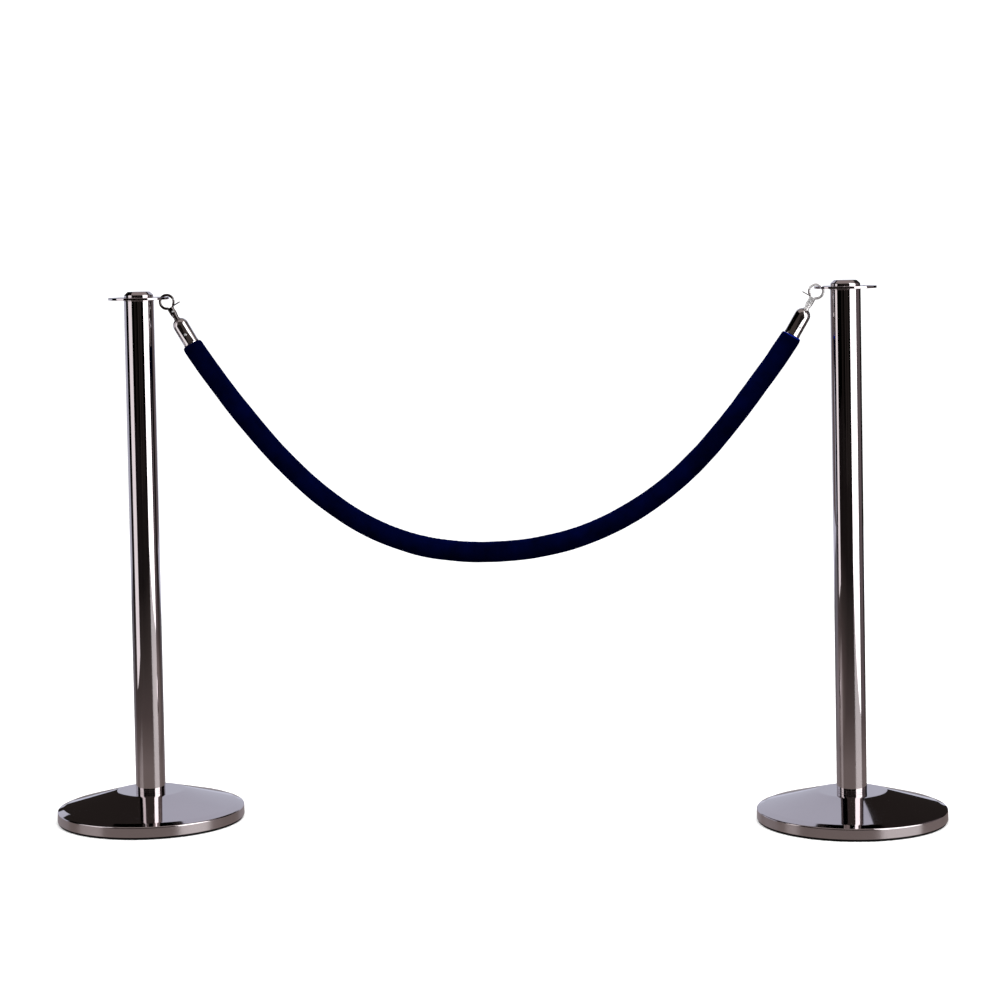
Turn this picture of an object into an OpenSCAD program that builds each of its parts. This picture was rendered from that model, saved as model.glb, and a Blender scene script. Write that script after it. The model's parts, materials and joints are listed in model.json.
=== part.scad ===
// Rope barrier set: a pair of weighted posts with holed ring plates, linked by a stuffed rope
// with swivel snap hooks. Millimetres, +Z up, origin on the floor midway between the posts,
// +X along the line of the posts.

/* [Posts] */
// Distance between the two post axes
post_spacing = 1200; // [1150:5:1250]
// Overall height of a post, floor to top of cap
post_h = 910; // [850:5:950]
// Outer diameter of the post tube
tube_d = 50.8; // [45:0.1:55]
// Wall of the post tube
tube_wall = 1.2; // [1:0.1:2]

/* [Base] */
// Diameter of the round base
base_d = 320; // [300:1:340]
// Height of the flat zone on which the tube stands
base_h = 50.5; // [46:0.5:56]
// Radius of the flat zone around the tube
base_flat_r = 58; // [45:1:70]
// Height at which the cone would meet the rim wall
rim_h = 24; // [20:0.5:28]
// Sheet thickness of the base cover
cover_t = 1.2; // [1:0.1:2]
// Height of the rubber ring under the rim
foot_h = 4; // [3:0.5:5]

/* [Ring plate] */
// Diameter of the ring plate
plate_d = 104; // [102:0.5:106]
// Thickness of the ring plate
plate_t = 4; // [3.5:0.1:4.2]
// Diameter of each rope hole
hole_d = 16; // [15:0.1:16.5]
// Width of the plate left between a hole and the plate's edge
web_w = 7; // [6.5:0.1:7.5]
// Number of rope holes
hole_count = 4; // [2:2:4]
// Height of the cap above the plate
cap_h = 10; // [8:0.5:12]

/* [Snap hook] */
// Inner radius of the hook's eye
eye_r = 9.5; // [9.3:0.1:9.8]
// Wire radius of the hook
wire_r = 2.25; // [2:0.05:2.4]
// Slope of the hook below the horizontal, in degrees
hook_slope = 60; // [58:1:62]
// Free play between the hook's eye and the plate
hook_play = 0.45; // [0.4:0.05:0.6]

/* [Rope] */
// Outer diameter of the velvet sleeve
rope_d = 35; // [32:0.5:38]
// Thickness of the velvet sleeve
sleeve_t = 1; // [0.8:0.1:1.5]
// Outer diameter of the metal rope end
rope_end_d = 26.5; // [26:0.1:28]

/* [Hidden] */

$fn = 96;
eps = 0.5;          // how far a cutter runs past the face it cuts
overlap = 0.01;     // overlap of two cutters that run into each other
thread_play = 0.05; // radial gap between a plain cylinder and the hole that it screws into
bolt_play = 0.1;    // radial gap between a small screw and its clearance hole
LEFT = -1;
RIGHT = 1;

// Post heights, from the floor up
plate_top = post_h - cap_h;
plate_bottom = plate_top - plate_t;
head_flange_t = 2;
head_flange_r = tube_d / 2 + 0.9;   // the flange shows as a small lip under the plate
tube_top = plate_bottom - head_flange_t;
foot_flange_t = 3;
tube_bottom = base_h + foot_flange_t;
plug_r = tube_d / 2 - tube_wall - bolt_play;
foot_plug_h = 14;
head_plug_h = 16;

// Base
base_r = base_d / 2;
rim_edge_r = 3;     // rounding where the cone turns into the rim wall
foot_inner_r = 120;
foot_inset = 2;     // the rubber ring stands this far inside the rim
bolt_r = 6;
bolt_hole_r = 6.5;
bolt_head_af = 19;
bolt_head_h = 7.5;
washer_t = 1.5;
washer_r = 12;
recess_r = 17;
recess_z = 15;      // ceiling of the bolt recess in the weight
hub_r = 30;         // the weight's hub, which carries the flat zone of the cover
hub_flare = 5;      // the hub widens by this much going down
hub_h = 15;
weight_inset = 6;   // the weight stays this far inside the rim
weight_drop = 5;    // and this far below the cone's foot
hollow_z = 12;      // ceiling of the hollow under the weight
hollow_draft = 3;

// Top
stud_r = 4;
stud_hole_r = stud_r + 0.25;
stud_gap = 1;       // the stud ends this far above the foot of the head plug
cap_bore_h = 6;     // depth of the cap's threaded hole
stud_reach = 4;     // how far the stud reaches into that hole
hole_circle_r = plate_d / 2 - web_w - hole_d / 2;
cap_r = 24.8;
cap_flat_r = 18.5;

// Snap hook: local frame with z along the hook towards the rope, x towards the gate,
// and the centre of the eye at the origin
ring_r = eye_r + wire_r;
web_mid_r = plate_d / 2 - web_w / 2;
eye_drop = sqrt(pow(eye_r, 2) - pow(web_w / 2, 2)) - hook_play;
eye_x = post_spacing / 2 - web_mid_r;
eye_z = plate_top - eye_drop;
pivot = [1, 20];           // gate pivot: x and z
gate_reach = 21.2;         // the gate's tip ends on this radius about the pivot
gate_gap = 0.4;            // gap between the nose and the gate's tip
gate_wire_r = 2;
gate_start_angle = 80;     // the gate is drawn from here, then cut back to its reach
gate_end_angle = 152;      // where the gate's arc runs into its root
ring_end_angle = -175;     // where the hook's arc runs into the shank
nose_end_angle = 110;      // the nose is drawn to here, then cut back to the gate's reach
shank_r = 5.8;
shank_flat = 4.8;          // half thickness of the shank across its flats
shank_top = 11.5;
shank_end = 26.5;
neck_start = 23.8;         // the shank is a plain round neck from here on
neck_r = 5.5;
slot_half = 2.6;
slot_start = 7.5;
slot_end = 22.9;
slot_depth = 20;
slot_back = -2.6;          // x of the slot's back wall
root_y = [-2.4, 0.35];     // the gate's root fills this part of the slot
root_r = 2.6;
pin_r = 1.5;
pin_play = 0.06;           // the gate turns freely on the pin
rivet_play = 0.02;         // the pin is riveted in the hook's cheeks
pin_head_r = 2.1;
pin_head_t = 0.5;
lever_t = 1.8;
lever_w = 7;
lever_z = 11.4;
lever_x = [6.5, 19.7];
lever_neck = 1.5;          // the lever widens this far out from its start
root_outline = [[3.2, 10.5], [7.2, 8.6]];   // where the gate's root meets its arc
spring_wire_r = 0.3;
spring_r = 2.1;
spring_y = [0.75, 2.25];
spring_turns = 2.5;
spring_sides = 8;
back_leg_end = [-2.1, 0.7, -5.5];  // end of the leg on the slot's back wall, from the pivot
gate_leg_end = [2.4, 2.28, -6];    // end of the leg behind the gate, from the pivot

// Swivel stud and rope end, along the same local z
head_pocket_r = 3.4;
stud_head_r = 3.1;
stud_head_z = [23, 24.1];
pocket_end = 24.4;
swivel_r = 2;
swivel_play = 0.06;
collar_r = 5;
collar_start = 26.9;
end_top = 34.9;            // flat top of the rope end
end_mouth = 83.6;          // open end of the rope end
end_r = rope_end_d / 2;
end_bore_r = end_r - 1.2;
end_ceiling = 37.7;        // flat ceiling inside the rope end
seat_rim = 0.2;            // the flats under collar and washer are this much larger
dome_steps = 16;
shaft_r = 2.5;
shaft_end = 44;
small_washer_r = 5;
small_washer_t = 1;
small_nut_af = 8;
small_nut_h = 4;
side_screw_z = 65.5;
side_screw_head_r = 2.2;
side_screw_r = 1.25;
side_screw_seat = end_r - 0.3;  // distance of the head's seat from the rope end's axis
side_screw_head_t = 1.2;
side_screw_tip = 6;        // distance of the screw's tip from the rope end's axis
side_screw_turn = [4, -26];   // turn of the side screw about the rope end: left, right

// Rope: the route's points in the plane y = 0, as [x, z], mouth to mouth
route = [
    [-510, 819], [-506, 812], [-495, 795], [-480, 773], [-450, 732], [-420, 692.5], [-390, 656],
    [-360, 622], [-320, 582], [-280, 548], [-240, 519.5], [-200, 497.5], [-160, 481], [-120, 469],
    [-80, 462], [-40, 458.5], [0, 458], [40, 460.5], [80, 466], [120, 474.5], [160, 487],
    [200, 503.5], [240, 525], [280, 551.5], [320, 583.5], [360, 622.5], [390, 656.5], [420, 693.5],
    [450, 733.5], [480, 774], [495, 796], [506, 812], [510, 819]
];
rope_r = rope_d / 2;
rope_sides = 12;
sleeve_mouth_r = 16;       // the sleeve draws in to this radius at a rope end
core_mouth_r = end_bore_r - 0.6;
sleeve_play = 0.2;         // radial gap between core and sleeve at a rope end
core_depth = 38;           // how far the core reaches into a rope end
core_gap = 1;              // slack between core and sleeve

// ---- helpers ----

// Points on an arc about a centre, from angle a0 to a1
function arc(centre, r, a0, a1, steps = 8) =
    [for (i = [0:steps]) let (a = a0 + (a1 - a0) * i / steps) centre + r * [cos(a), sin(a)]];

function unit(v) = v / norm(v);

// Direction of a path at point i; the ends take the given directions
function heading(path, i, first, last) =
    i == 0 ? first : i == len(path) - 1 ? last : unit(path[i + 1] - path[i - 1]);

// One ring of a swept tube, square to the heading, with its first side towards +Y
function ring_points(at, dir, r, sides) =
    let (up = unit([0, 1, 0] - dir * dir[1]), across = cross(up, dir))
    [for (k = [0:sides - 1]) at + r * (cos(360 * k / sides) * up + sin(360 * k / sides) * across)];

// All rings of a swept tube, one after the other
function swept_points(path, radii, sides, first, last) =
    [for (i = [0:len(path) - 1])
        each ring_points(path[i], heading(path, i, first, last), radii[i], sides)];

// Quads between neighbouring rings, starting at vertex number base
function wall_faces(rings, sides, base = 0, inward = false) =
    [for (i = [0:rings - 2], k = [0:sides - 1])
        let (a = base + i * sides + k, b = base + i * sides + (k + 1) % sides)
        inward ? [a, b, b + sides, a + sides] : [a, a + sides, b + sides, b]];

// Solid swept rod
module rod(path, radii, sides, first, last) {
    rings = len(path);
    start_cap = [for (k = [0:sides - 1]) k];
    end_cap = [for (k = [sides - 1:-1:0]) (rings - 1) * sides + k];
    polyhedron(swept_points(path, radii, sides, first, last),
               concat(wall_faces(rings, sides), [start_cap, end_cap]));
}

// Hollow swept tube with ring-shaped ends
module hose(path, outer, inner, sides, first, last) {
    rings = len(path);
    bore = rings * sides;
    far = (rings - 1) * sides;
    ends = [for (k = [0:sides - 1]) let (n = (k + 1) % sides)
        each [[k, n, bore + n, bore + k], [far + k, bore + far + k, bore + far + n, far + n]]];
    polyhedron(concat(swept_points(path, outer, sides, first, last),
                      swept_points(path, inner, sides, first, last)),
               concat(wall_faces(rings, sides), wall_faces(rings, sides, bore, true), ends));
}

// Turned piece from an outline of [radius, height] points
module turned(outline) rotate_extrude() polygon(outline);

// Round plate or tube between two heights
module ring(r_out, r_in, z0, z1) {
    translate([0, 0, z0])
        difference() {
            cylinder(r = r_out, h = z1 - z0);
            translate([0, 0, -eps]) cylinder(r = r_in, h = z1 - z0 + 2 * eps);
        }
}

// Hexagon of a given width across flats
module hexagon(af, h) cylinder(r = af / 2 / cos(30), h = h, $fn = 6);

// Put a piece on the axis of the left or right post
module at_post(side) translate([side * post_spacing / 2, 0, 0]) children();

// Put a piece, drawn in the hook's local frame, at the left or right end of the rope
module at_hook(side) {
    if (side == LEFT)
        hook_place() children();
    else
        mirror([1, 0, 0]) hook_place() children();
}
module hook_place() {
    translate([-eye_x, 0, eye_z]) rotate([0, 90 + hook_slope, 0]) rotate([0, 0, 180]) children();
}

// ---- post pieces ----

cone_slope = atan((base_h - rim_h) / (base_r - base_flat_r));

// Outer outline of the base from the bolt hole to the foot of the rim, inset by t
function cover_outline(t) =
    let (edge = rim_edge_r - t,
         edge_x = base_r - rim_edge_r,
         edge_z = rim_h + rim_edge_r * tan(cone_slope) - rim_edge_r / cos(cone_slope),
         flat_r = base_flat_r - t * tan(cone_slope / 2))
    concat([[bolt_hole_r, base_h - t], [flat_r, base_h - t]],
           arc([edge_x, edge_z], edge, 90 - cone_slope, 0),
           [[base_r - t, foot_h]]);

module base_cover(side) {
    inside = cover_outline(cover_t);
    reversed = [for (i = [len(inside) - 1:-1:0]) inside[i]];
    color("silver") at_post(side) turned(concat(cover_outline(0), reversed));
}

module base_weight(side) {
    top = base_h - cover_t;
    rim_x = base_r - weight_inset;
    hollow_r = foot_inner_r - foot_inset;
    color("dimgray") at_post(side)
        turned([
            [bolt_hole_r, top], [hub_r, top], [hub_r + hub_flare, top - hub_h],
            [rim_x, rim_h - weight_drop], [rim_x, foot_h], [hollow_r, foot_h],
            [hollow_r - hollow_draft, hollow_z], [recess_r, hollow_z],
            [recess_r, recess_z], [bolt_hole_r, recess_z]
        ]);
}

module foot_ring(side) {
    color("black") at_post(side) ring(base_r - foot_inset, foot_inner_r, 0, foot_h);
}

module base_bolt(side) {
    color("gray") at_post(side) {
        translate([0, 0, recess_z - washer_t - bolt_head_h]) hexagon(bolt_head_af, bolt_head_h);
        translate([0, 0, recess_z - washer_t]) cylinder(r = bolt_r, h = base_h + foot_plug_h - recess_z);
    }
}

module base_washer(side) {
    color("gray") at_post(side) ring(washer_r, bolt_hole_r, recess_z - washer_t, recess_z);
}

// Threaded plug welded into the foot of the tube; its flange shows as a thin ring
module foot_plug(side) {
    bore_r = bolt_r + thread_play;
    color("silver") at_post(side)
        turned([
            [bore_r, base_h], [tube_d / 2, base_h], [tube_d / 2, tube_bottom],
            [plug_r, tube_bottom], [plug_r, base_h + foot_plug_h], [bore_r, base_h + foot_plug_h]
        ]);
}

module post_tube(side) {
    color("silver") at_post(side) ring(tube_d / 2, tube_d / 2 - tube_wall, tube_bottom, tube_top);
}

module head_plug(side) {
    bore_r = stud_r + thread_play;
    foot = plate_bottom - head_plug_h;
    color("gray") at_post(side)
        turned([
            [bore_r, plate_bottom], [head_flange_r, plate_bottom], [head_flange_r, tube_top],
            [plug_r, tube_top], [plug_r, foot], [bore_r, foot]
        ]);
}

module ring_plate(side) {
    through = plate_t + 2 * eps;
    color("silver") at_post(side) translate([0, 0, plate_bottom])
        difference() {
            cylinder(d = plate_d, h = plate_t);
            for (i = [0:hole_count - 1])
                rotate([0, 0, i * 360 / hole_count])
                    translate([hole_circle_r, 0, -eps]) cylinder(d = hole_d, h = through);
            translate([0, 0, -eps]) cylinder(r = stud_hole_r, h = through);
        }
}

module cap_stud(side) {
    foot = plate_bottom - head_plug_h + stud_gap;
    color("gray") at_post(side)
        translate([0, 0, foot]) cylinder(r = stud_r, h = plate_top + stud_reach - foot);
}

module top_cap(side) {
    corner = cap_r - cap_flat_r;
    bore_r = stud_r + thread_play;
    color("silver") at_post(side)
        turned(concat(
            [[bore_r, plate_top], [cap_r, plate_top]],
            arc([cap_flat_r, post_h - corner], corner, 0, 90),
            [[0, post_h], [0, plate_top + cap_bore_h], [bore_r, plate_top + cap_bore_h]]
        ));
}

// ---- rope pieces ----

rope_path = [for (p = route) [p[0], 0, p[1]]];
axis_left = [cos(hook_slope), 0, -sin(hook_slope)];
axis_right = [cos(hook_slope), 0, sin(hook_slope)];

// One value for each route point: the two end rings take the mouth value
function along_route(mouth, run) =
    [for (i = [0:len(route) - 1]) i == 0 || i == len(route) - 1 ? mouth : run];

module rope_sleeve() {
    color("midnightblue")
        hose(rope_path, along_route(sleeve_mouth_r, rope_r),
             along_route(core_mouth_r + sleeve_play, rope_r - sleeve_t), rope_sides, axis_left, axis_right);
}

module rope_core() {
    first = rope_path[0] - core_depth * axis_left;
    last = rope_path[len(route) - 1] + core_depth * axis_right;
    radii = concat([core_mouth_r], along_route(core_mouth_r, rope_r - sleeve_t - core_gap), [core_mouth_r]);
    color("ivory") rod(concat([first], rope_path, [last]), radii, rope_sides, axis_left, axis_right);
}

// Domed metal cup over the rope's end
module rope_end(side) {
    hole_r = shaft_r + bolt_play;
    seat_r = collar_r + seat_rim;
    bore_flat_r = small_washer_r + seat_rim;
    dome_z = end_top + sqrt(pow(end_r, 2) - pow(seat_r, 2));
    dome_a = acos(seat_r / end_r);
    bore_z = end_ceiling + sqrt(pow(end_bore_r, 2) - pow(bore_flat_r, 2));
    bore_a = acos(bore_flat_r / end_bore_r);
    color("silver") at_hook(side)
        difference() {
            turned(concat(
                [[hole_r, end_top]], arc([0, dome_z], end_r, -dome_a, 0, dome_steps),
                [[end_r, end_mouth], [end_bore_r, end_mouth]],
                arc([0, bore_z], end_bore_r, 0, -bore_a, dome_steps), [[hole_r, end_ceiling]]
            ));
            side_screw_place(side) {
                cylinder(r = side_screw_r + bolt_play, h = end_r);
                translate([0, 0, side_screw_seat]) cylinder(r = side_screw_head_r + bolt_play, h = end_r);
            }
        }
}

// Local z runs outwards through the wall of the rope end
module side_screw_place(side) {
    turn = side == LEFT ? side_screw_turn[0] : side_screw_turn[1];
    translate([0, 0, side_screw_z]) rotate([0, 0, -turn]) rotate([-90, 0, 0]) children();
}

module rope_end_screw(side) {
    color("silver") at_hook(side) side_screw_place(side) {
        translate([0, 0, side_screw_tip]) cylinder(r = side_screw_r, h = side_screw_seat - side_screw_tip);
        translate([0, 0, side_screw_seat]) cylinder(r = side_screw_head_r, h = side_screw_head_t);
    }
}

module swivel_stud(side) {
    color("silver") at_hook(side)
        turned([
            [0, stud_head_z[0]], [stud_head_r, stud_head_z[0]], [stud_head_r, stud_head_z[1]],
            [swivel_r, stud_head_z[1]], [swivel_r, collar_start], [collar_r, collar_start],
            [collar_r, end_top], [shaft_r, end_top], [shaft_r, shaft_end], [0, shaft_end]
        ]);
}

module stud_washer(side) {
    color("gray") at_hook(side)
        ring(small_washer_r, shaft_r + bolt_play, end_ceiling, end_ceiling + small_washer_t);
}

module stud_nut(side) {
    color("gray") at_hook(side)
        translate([0, 0, end_ceiling + small_washer_t])
            difference() {
                hexagon(small_nut_af, small_nut_h);
                translate([0, 0, -eps]) cylinder(r = shaft_r + thread_play, h = small_nut_h + 2 * eps);
            }
}

// ---- snap hook pieces ----

// Part of a torus in the plane of the eye; angle 0 is the top of the eye, 90 the gate's side
module eye_arc(a0, a1, r) {
    rotate([90, 0, 0]) rotate([0, 0, a0 - 90])
        rotate_extrude(angle = a1 - a0) translate([ring_r, 0]) circle(r = r);
}

// Cylinder across the hook, about the gate's pivot
module about_pivot(r, y0, y1) {
    translate([pivot[0], y0, pivot[1]]) rotate([-90, 0, 0]) cylinder(r = r, h = y1 - y0);
}

// Only the half of a piece that lies on the gate's side of the eye
module gate_side() {
    intersection() {
        children();
        translate([0, -shank_r - 1, -2 * ring_r]) cube([2 * ring_r, 2 * shank_r + 2, 3 * ring_r]);
    }
}

module shank() {
    intersection() {
        translate([0, 0, shank_top]) cylinder(r = shank_r, h = pocket_end - shank_top);
        translate([-shank_r, -shank_flat, 0]) cube([2 * shank_r, 2 * shank_flat, shank_end]);
    }
    translate([0, 0, neck_start]) cylinder(r = neck_r, h = shank_end - neck_start);
}

module hook_body(side) {
    color("silver") at_hook(side)
        difference() {
            union() {
                difference() {
                    eye_arc(ring_end_angle, nose_end_angle, wire_r);
                    gate_side() about_pivot(gate_reach + gate_gap, -shank_r, shank_r);
                }
                shank();
            }
            translate([slot_back, -slot_half, slot_start])
                cube([slot_depth, 2 * slot_half, slot_end - slot_start]);
            translate([0, 0, slot_end - overlap])
                cylinder(r = head_pocket_r, h = pocket_end - slot_end + overlap);
            cylinder(r = swivel_r + swivel_play, h = shank_end + eps);
            about_pivot(pin_r + rivet_play, -shank_r, shank_r);
        }
}

module hook_gate(side) {
    root_t = root_y[1] - root_y[0];
    wide_start = lever_x[0] + lever_neck;
    wide_end = lever_x[1] - lever_w / 2;
    color("silver") at_hook(side)
        difference() {
            union() {
                intersection() {
                    eye_arc(gate_start_angle, gate_end_angle, gate_wire_r);
                    about_pivot(gate_reach, -shank_r, shank_r);
                }
                about_pivot(root_r, root_y[0], root_y[1]);
                translate([0, root_y[1], 0]) rotate([90, 0, 0])
                    linear_extrude(root_t)
                        polygon(concat([pivot - [root_r, 0]], root_outline, [pivot + [root_r, 0]]));
                translate([0, 0, lever_z - lever_t / 2]) linear_extrude(lever_t) {
                    translate([lever_x[0], root_y[0]]) square([2 * lever_neck, root_t]);
                    translate([wide_start, -lever_w / 2]) square([wide_end - wide_start, lever_w]);
                    translate([wide_end, 0]) circle(d = lever_w);
                }
            }
            about_pivot(pin_r + pin_play, -shank_r, shank_r);
        }
}

module gate_pin(side) {
    color("silver") at_hook(side) {
        about_pivot(pin_r, -shank_flat, shank_flat);
        about_pivot(pin_head_r, shank_flat, shank_flat + pin_head_t);
        about_pivot(pin_head_r, -shank_flat - pin_head_t, -shank_flat);
    }
}

// Torsion spring on the pin: one leg on the slot's back wall, the other behind the gate
module gate_spring(side) {
    steps = 12 * spring_turns;
    coil = [for (i = [0:steps]) let (a = 180 + 360 * spring_turns * i / steps)
        [pivot[0] + spring_r * cos(a), spring_y[0] + (spring_y[1] - spring_y[0]) * i / steps,
         pivot[1] - spring_r * sin(a)]];
    centre = [pivot[0], 0, pivot[1]];
    path = concat([centre + back_leg_end], coil, [centre + gate_leg_end]);
    last = len(path) - 1;
    radii = [for (p = path) spring_wire_r];
    color("gray") at_hook(side)
        rod(path, radii, spring_sides, unit(path[1] - path[0]), unit(path[last] - path[last - 1]));
}

base_cover(LEFT);  // base_cover_left
base_weight(LEFT);  // base_weight_left
foot_ring(LEFT);  // foot_ring_left
base_bolt(LEFT);  // base_bolt_left
base_washer(LEFT);  // base_washer_left
foot_plug(LEFT);  // foot_plug_left
post_tube(LEFT);  // post_tube_left
head_plug(LEFT);  // head_plug_left
ring_plate(LEFT);  // ring_plate_left
cap_stud(LEFT);  // cap_stud_left
top_cap(LEFT);  // top_cap_left
base_cover(RIGHT);  // base_cover_right
base_weight(RIGHT);  // base_weight_right
foot_ring(RIGHT);  // foot_ring_right
base_bolt(RIGHT);  // base_bolt_right
base_washer(RIGHT);  // base_washer_right
foot_plug(RIGHT);  // foot_plug_right
post_tube(RIGHT);  // post_tube_right
head_plug(RIGHT);  // head_plug_right
ring_plate(RIGHT);  // ring_plate_right
cap_stud(RIGHT);  // cap_stud_right
top_cap(RIGHT);  // top_cap_right
rope_sleeve();
rope_core();
rope_end(LEFT);  // rope_end_left
rope_end_screw(LEFT);  // rope_end_screw_left
swivel_stud(LEFT);  // swivel_stud_left
stud_washer(LEFT);  // stud_washer_left
stud_nut(LEFT);  // stud_nut_left
hook_body(LEFT);  // hook_body_left
gate_pin(LEFT);  // gate_pin_left
gate_spring(LEFT);  // gate_spring_left
hook_gate(LEFT);  // hook_gate_left
rope_end(RIGHT);  // rope_end_right
rope_end_screw(RIGHT);  // rope_end_screw_right
swivel_stud(RIGHT);  // swivel_stud_right
stud_washer(RIGHT);  // stud_washer_right
stud_nut(RIGHT);  // stud_nut_right
hook_body(RIGHT);  // hook_body_right
gate_pin(RIGHT);  // gate_pin_right
gate_spring(RIGHT);  // gate_spring_right
hook_gate(RIGHT);  // hook_gate_right
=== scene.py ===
"""Rope barrier set: two polished posts and a velvet rope on snap hooks. Metres, +Z up, +X along the posts."""

import json
import math

import bmesh
import bpy
import numpy as np
from mathutils import Matrix, Vector, noise


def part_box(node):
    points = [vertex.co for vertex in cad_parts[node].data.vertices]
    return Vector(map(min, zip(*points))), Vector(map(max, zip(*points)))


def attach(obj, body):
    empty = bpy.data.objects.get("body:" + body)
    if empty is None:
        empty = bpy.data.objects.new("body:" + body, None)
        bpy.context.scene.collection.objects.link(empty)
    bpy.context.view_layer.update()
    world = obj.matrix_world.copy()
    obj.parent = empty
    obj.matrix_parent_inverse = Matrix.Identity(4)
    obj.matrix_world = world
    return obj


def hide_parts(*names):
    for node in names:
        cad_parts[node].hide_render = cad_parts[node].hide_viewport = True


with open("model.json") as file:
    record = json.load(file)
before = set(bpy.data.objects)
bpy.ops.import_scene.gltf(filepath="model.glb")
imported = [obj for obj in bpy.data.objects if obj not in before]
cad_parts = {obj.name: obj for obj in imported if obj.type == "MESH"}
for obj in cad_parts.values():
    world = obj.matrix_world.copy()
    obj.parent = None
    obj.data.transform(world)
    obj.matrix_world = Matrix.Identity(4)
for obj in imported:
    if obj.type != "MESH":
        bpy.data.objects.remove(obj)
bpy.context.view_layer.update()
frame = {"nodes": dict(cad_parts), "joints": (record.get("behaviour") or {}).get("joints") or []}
MM = 0.001
SIDES = (("left", -1), ("right", 1))
POST_X = (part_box("post_tube_right")[0].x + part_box("post_tube_right")[1].x) / 2

STEEL_TINT = (0.66, 0.61, 0.62)
CHROME_TINT = (0.72, 0.69, 0.69)


# ---- camera ----

def make_camera():
    """A camera a little right of the middle and just above the caps, looking slightly down."""
    place = (0.4117, -4.3526, 1.0080)
    azimuth, pitch, roll = math.radians(5.15), math.radians(2.49), math.radians(-1.0755)
    forward = Vector((-math.sin(azimuth) * math.cos(pitch), math.cos(azimuth) * math.cos(pitch),
                      -math.sin(pitch)))
    right = forward.cross(Vector((0, 0, 1))).normalized()
    up = right.cross(forward)
    across = math.cos(roll) * right + math.sin(roll) * up
    upward = math.cos(roll) * up - math.sin(roll) * right
    data = bpy.data.cameras.new("camera")
    data.sensor_width = 36
    data.lens = 93.09
    data.shift_y = -0.16
    data.clip_end = 100
    camera = bpy.data.objects.new("camera", data)
    turn = Matrix((across, upward, -forward)).transposed()
    camera.matrix_world = Matrix.Translation(place) @ turn.to_4x4()
    bpy.context.scene.collection.objects.link(camera)
    bpy.context.scene.camera = camera


# ---- the rope's line ----

# The route of the rope from mouth to mouth, as [x, z] in millimetres in the plane y = 0
ROUTE = [
    [-510, 819], [-506, 812], [-495, 795], [-480, 773], [-450, 732], [-420, 692.5], [-390, 656],
    [-360, 622], [-320, 582], [-280, 548], [-240, 519.5], [-200, 497.5], [-160, 481], [-120, 469],
    [-80, 462], [-40, 458.5], [0, 458], [40, 460.5], [80, 466], [120, 474.5], [160, 487],
    [200, 503.5], [240, 525], [280, 551.5], [320, 583.5], [360, 622.5], [390, 656.5], [420, 693.5],
    [450, 733.5], [480, 774], [495, 796], [506, 812], [510, 819],
]
ROPE_R = 17.5 * MM
ROPE_STEP = 2.5 * MM
SPLINE_STEPS = 24


def smooth_line(points, step):
    """An evenly stepped smooth line through points, as an array of [x, y, z]."""
    points = np.array(points, float)
    padded = np.vstack([2 * points[0] - points[1], points, 2 * points[-1] - points[-2]])
    fine = []
    for i in range(len(points) - 1):
        a, b, c, d = padded[i:i + 4]
        for t in np.linspace(0, 1, SPLINE_STEPS, endpoint=False):
            fine.append(0.5 * (2 * b + (c - a) * t + (2 * a - 5 * b + 4 * c - d) * t ** 2
                               + (3 * b - a - 3 * c + d) * t ** 3))
    fine = np.array(fine + [points[-1]])
    run = np.concatenate([[0], np.cumsum(np.linalg.norm(np.diff(fine, axis=0), axis=1))])
    count = int(round(run[-1] / step)) + 1
    even = np.linspace(0, run[-1], count)
    line = np.column_stack([np.interp(even, run, fine[:, k]) for k in range(3)])
    soft = line.copy()
    for k in range(3):
        soft[4:-4, k] = np.convolve(line[:, k], smoothing_kernel(4), "valid")
    return soft


def smoothing_kernel(reach):
    """Bell-shaped weights over reach steps to each side, which add up to one."""
    kernel = np.hanning(2 * reach + 1)
    return kernel / kernel.sum()


ROPE_LINE = smooth_line([(x * MM, 0, z * MM) for x, z in ROUTE], ROPE_STEP)


# ---- mesh helpers ----

def finish_mesh(name, vertices, faces, material, sharp=35, place=None):
    """A mesh object with smooth faces, split where faces meet at more than sharp degrees."""
    mesh = bpy.data.meshes.new(name)
    mesh.from_pydata([tuple(v) for v in vertices], [], faces)
    if place is not None:
        mesh.transform(place)
    work = bmesh.new()
    work.from_mesh(mesh)
    bmesh.ops.remove_doubles(work, verts=work.verts, dist=1e-7)
    bmesh.ops.recalc_face_normals(work, faces=work.faces)
    work.to_mesh(mesh)
    work.free()
    mesh.polygons.foreach_set("use_smooth", [True] * len(mesh.polygons))
    mesh.set_sharp_from_angle(angle=math.radians(sharp))
    mesh.materials.append(material)
    piece = bpy.data.objects.new(name, mesh)
    bpy.context.scene.collection.objects.link(piece)
    return piece


def rounded(corners, steps=8, guard=0.15):
    """An outline in millimetres with its corners rounded. Each corner is (r, z) or (r, z, radius)."""
    points = []
    for i, corner in enumerate(corners):
        here = Vector(corner[:2])
        radius = corner[2] if len(corner) > 2 else 0
        if radius == 0:
            points.append(here)
            continue
        before = (Vector(corners[i - 1][:2]) - here).normalized()
        after = (Vector(corners[(i + 1) % len(corners)][:2]) - here).normalized()
        half = math.acos(max(-1, min(1, before.dot(after)))) / 2
        reach = radius / math.tan(half)
        centre = here + (before + after).normalized() * radius / math.sin(half)
        start, end = here + before * reach, here + after * reach
        from_start = start - centre
        turn = math.atan2(from_start.x * (end - centre).y - from_start.y * (end - centre).x,
                          from_start.dot(end - centre))
        points.append(start + before * min(guard, radius))
        for k in range(steps + 1):
            a = turn * k / steps
            spoke = Vector((from_start.x * math.cos(a) - from_start.y * math.sin(a),
                            from_start.x * math.sin(a) + from_start.y * math.cos(a)))
            points.append(centre + spoke)
        points.append(end + after * min(guard, radius))
    return [(p.x, p.y) for p in points]


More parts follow.
